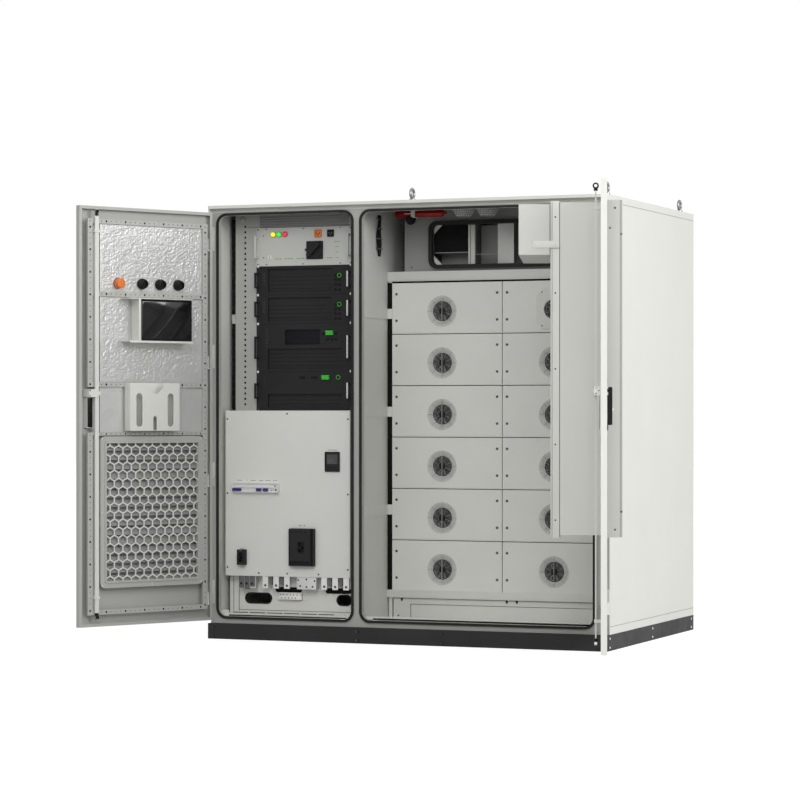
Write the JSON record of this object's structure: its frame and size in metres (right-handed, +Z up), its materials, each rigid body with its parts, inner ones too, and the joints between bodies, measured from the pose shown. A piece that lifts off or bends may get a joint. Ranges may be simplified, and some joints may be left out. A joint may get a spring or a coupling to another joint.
{
  "type": "battery cabinet",
  "caption": "Two-door floor-standing battery cabinet with rack modules and inverter left, fan-cooled packs right, and a cooler through the right door.",
  "frame": {"origin": "middle of the plinth's footprint at floor level, at the centre of the anchor holes", "axes": "+X to the right seen from the front, +Y to the back, +Z up"},
  "size_m": [2.6327, 2.481, 2.0557],
  "materials": {
    "cooler_case": "satin",
    "filter": "mesh",
    "cabinet_paint": "satin powder coat",
    "zinc_sheet": "galvanised",
    "black_plastic": "matt",
    "module_paint": "satin",
    "foil_wool": "crinkled foil",
    "red_paint": "gloss",
    "seal": "matt",
    "bright_steel": "zinc plated",
    "pack_case": "satin",
    "dark_case": "fine texture",
    "plinth_paint": "satin powder coat",
    "red_plastic": "gloss",
    "tinned_copper": "tinned"
  },
  "bodies": {
    "cabinet": {"base_frame": "cabinet_paint", "battery_rack": "zinc_sheet", "breakers": "black_plastic", "duct_box": "cabinet_paint", "fan_guards": "black_plastic", "fire_fittings": "red_paint", "front_frame": "cabinet_paint", "gaskets": "seal", "hinge_leaves": "bright_steel", "inverter": "module_paint", "inverter_covers": "cabinet_paint", "left_packs": "pack_case", "lifting_eyes": "bright_steel", "module_4u": "dark_case", "module_5u": "dark_case", "modules_3u": "dark_case", "panel_fittings": "black_plastic", "partition": "cabinet_paint", "plinth": "plinth_paint", "rack_rails": "zinc_sheet", "rear_panel": "cabinet_paint", "right_packs": "pack_case", "roof": "cabinet_paint", "side_panels": "cabinet_paint", "switch_panel": "module_paint", "terminals": "tinned_copper"},
    "left_door_leaf": {"left_door": "cabinet_paint", "left_door_frame": "cabinet_paint", "door_insulation": "foil_wool", "air_filter": "filter", "display_unit": "black_plastic", "document_pocket": "module_paint", "door_switches": "black_plastic", "left_rod_guides": "bright_steel"},
    "left_lever": {"left_handle": "black_plastic"},
    "left_upper_rod": {"left_rod_upper": "bright_steel"},
    "left_lower_rod": {"left_rod_lower": "bright_steel"},
    "stop_push": {"stop_button": "red_plastic"},
    "right_door_leaf": {"right_door": "cabinet_paint", "air_cooler": "cooler_case", "air_nozzle": "cabinet_paint", "right_rod_guides": "bright_steel"},
    "right_lever": {"right_handle": "black_plastic"},
    "right_upper_rod": {"right_rod_upper": "bright_steel"},
    "right_lower_rod": {"right_rod_lower": "bright_steel"},
    "rotary_knob": {"switch_knob": "black_plastic"},
    "main_lever": {"main_breaker_lever": "black_plastic"},
    "small_lever": {"small_breaker_lever": "black_plastic"},
    "rotor_left_1": {"fan_rotor_left_1": "black_plastic"},
    "rotor_left_2": {"fan_rotor_left_2": "black_plastic"},
    "rotor_left_3": {"fan_rotor_left_3": "black_plastic"},
    "rotor_left_4": {"fan_rotor_left_4": "black_plastic"},
    "rotor_left_5": {"fan_rotor_left_5": "black_plastic"},
    "rotor_left_6": {"fan_rotor_left_6": "black_plastic"},
    "rotor_right_1": {"fan_rotor_right_1": "black_plastic"},
    "rotor_right_2": {"fan_rotor_right_2": "black_plastic"},
    "rotor_right_3": {"fan_rotor_right_3": "black_plastic"},
    "rotor_right_4": {"fan_rotor_right_4": "black_plastic"},
    "rotor_right_5": {"fan_rotor_right_5": "black_plastic"},
    "rotor_right_6": {"fan_rotor_right_6": "black_plastic"}
  },
  "joints": [
    {"name": "left_door_hinge", "type": "hinge", "parent": "cabinet", "child": "left_door_leaf", "pos_m": [-0.957, -0.674, 1.02], "axis": [0, 0, 1], "range_deg": [-7.2, 117.8]},
    {"name": "right_door_hinge", "type": "hinge", "parent": "cabinet", "child": "right_door_leaf", "pos_m": [0.957, -0.674, 1.02], "axis": [0, 0, 1], "range_deg": [-107.8, 12.2]},
    {"name": "left_handle_turn", "type": "hinge", "parent": "left_door_leaf", "child": "left_lever", "pos_m": [-1.27228, -1.27198, 1.127], "axis": [0.8846, -0.4664, 0], "range_deg": [0, 90]},
    {"name": "left_upper_rod_slide", "type": "slide", "parent": "left_door_leaf", "child": "left_upper_rod", "axis": [0, 0, 1], "range_m": [0, 0.021]},
    {"name": "left_lower_rod_slide", "type": "slide", "parent": "left_door_leaf", "child": "left_lower_rod", "axis": [0, 0, -1], "range_m": [0, 0.021]},
    {"name": "right_handle_turn", "type": "hinge", "parent": "right_door_leaf", "child": "right_lever", "pos_m": [1.30702, -1.76419, 1.127], "axis": [-0.9521, -0.3057, 0], "range_deg": [0, 90]},
    {"name": "right_upper_rod_slide", "type": "slide", "parent": "right_door_leaf", "child": "right_upper_rod", "axis": [0, 0, 1], "range_m": [0, 0.021]},
    {"name": "right_lower_rod_slide", "type": "slide", "parent": "right_door_leaf", "child": "right_lower_rod", "axis": [0, 0, -1], "range_m": [0, 0.021]},
    {"name": "stop_button_press", "type": "slide", "parent": "left_door_leaf", "child": "stop_push", "axis": [0.8846, -0.4664, 0], "range_m": [0, 0.006], "stiffness_N_per_m": 800},
    {"name": "rotary_knob_turn", "type": "hinge", "parent": "cabinet", "child": "rotary_knob", "pos_m": [-0.502, -0.503, 1.789], "axis": [0, 1, 0], "range_deg": [0, 90]},
    {"name": "main_lever_throw", "type": "hinge", "parent": "cabinet", "child": "main_lever", "pos_m": [-0.528, -0.5955, 0.4235], "axis": [1, 0, 0], "range_deg": [-24, 24]},
    {"name": "small_lever_throw", "type": "hinge", "parent": "cabinet", "child": "small_lever", "pos_m": [-0.832, -0.5955, 0.373], "axis": [1, 0, 0], "range_deg": [-24, 24]},
    {"name": "rotor_left_1_spin", "type": "hinge", "parent": "cabinet", "child": "rotor_left_1", "pos_m": [0.057, -0.306, 0.3208], "axis": [0, 1, 0], "continuous": true},
    {"name": "rotor_left_2_spin", "type": "hinge", "parent": "cabinet", "child": "rotor_left_2", "pos_m": [0.057, -0.306, 0.5579], "axis": [0, 1, 0], "continuous": true},
    {"name": "rotor_left_3_spin", "type": "hinge", "parent": "cabinet", "child": "rotor_left_3", "pos_m": [0.057, -0.306, 0.795], "axis": [0, 1, 0], "continuous": true},
    {"name": "rotor_left_4_spin", "type": "hinge", "parent": "cabinet", "child": "rotor_left_4", "pos_m": [0.057, -0.306, 1.0321], "axis": [0, 1, 0], "continuous": true},
    {"name": "rotor_left_5_spin", "type": "hinge", "parent": "cabinet", "child": "rotor_left_5", "pos_m": [0.057, -0.306, 1.2692], "axis": [0, 1, 0], "continuous": true},
    {"name": "rotor_left_6_spin", "type": "hinge", "parent": "cabinet", "child": "rotor_left_6", "pos_m": [0.057, -0.306, 1.5063], "axis": [0, 1, 0], "continuous": true},
    {"name": "rotor_right_1_spin", "type": "hinge", "parent": "cabinet", "child": "rotor_right_1", "pos_m": [0.599, -0.306, 0.3208], "axis": [0, 1, 0], "continuous": true},
    {"name": "rotor_right_2_spin", "type": "hinge", "parent": "cabinet", "child": "rotor_right_2", "pos_m": [0.599, -0.306, 0.5579], "axis": [0, 1, 0], "continuous": true},
    {"name": "rotor_right_3_spin", "type": "hinge", "parent": "cabinet", "child": "rotor_right_3", "pos_m": [0.599, -0.306, 0.795], "axis": [0, 1, 0], "continuous": true},
    {"name": "rotor_right_4_spin", "type": "hinge", "parent": "cabinet", "child": "rotor_right_4", "pos_m": [0.599, -0.306, 1.0321], "axis": [0, 1, 0], "continuous": true},
    {"name": "rotor_right_5_spin", "type": "hinge", "parent": "cabinet", "child": "rotor_right_5", "pos_m": [0.599, -0.306, 1.2692], "axis": [0, 1, 0], "continuous": true},
    {"name": "rotor_right_6_spin", "type": "hinge", "parent": "cabinet", "child": "rotor_right_6", "pos_m": [0.599, -0.306, 1.5063], "axis": [0, 1, 0], "continuous": true}
  ],
  "couplings": [
    {"joint": "left_upper_rod_slide", "follows": "left_handle_turn", "m_per_rad": 0.012732},
    {"joint": "left_lower_rod_slide", "follows": "left_handle_turn", "m_per_rad": 0.012732},
    {"joint": "right_upper_rod_slide", "follows": "right_handle_turn", "m_per_rad": 0.012732},
    {"joint": "right_lower_rod_slide", "follows": "right_handle_turn", "m_per_rad": 0.012732}
  ]
}
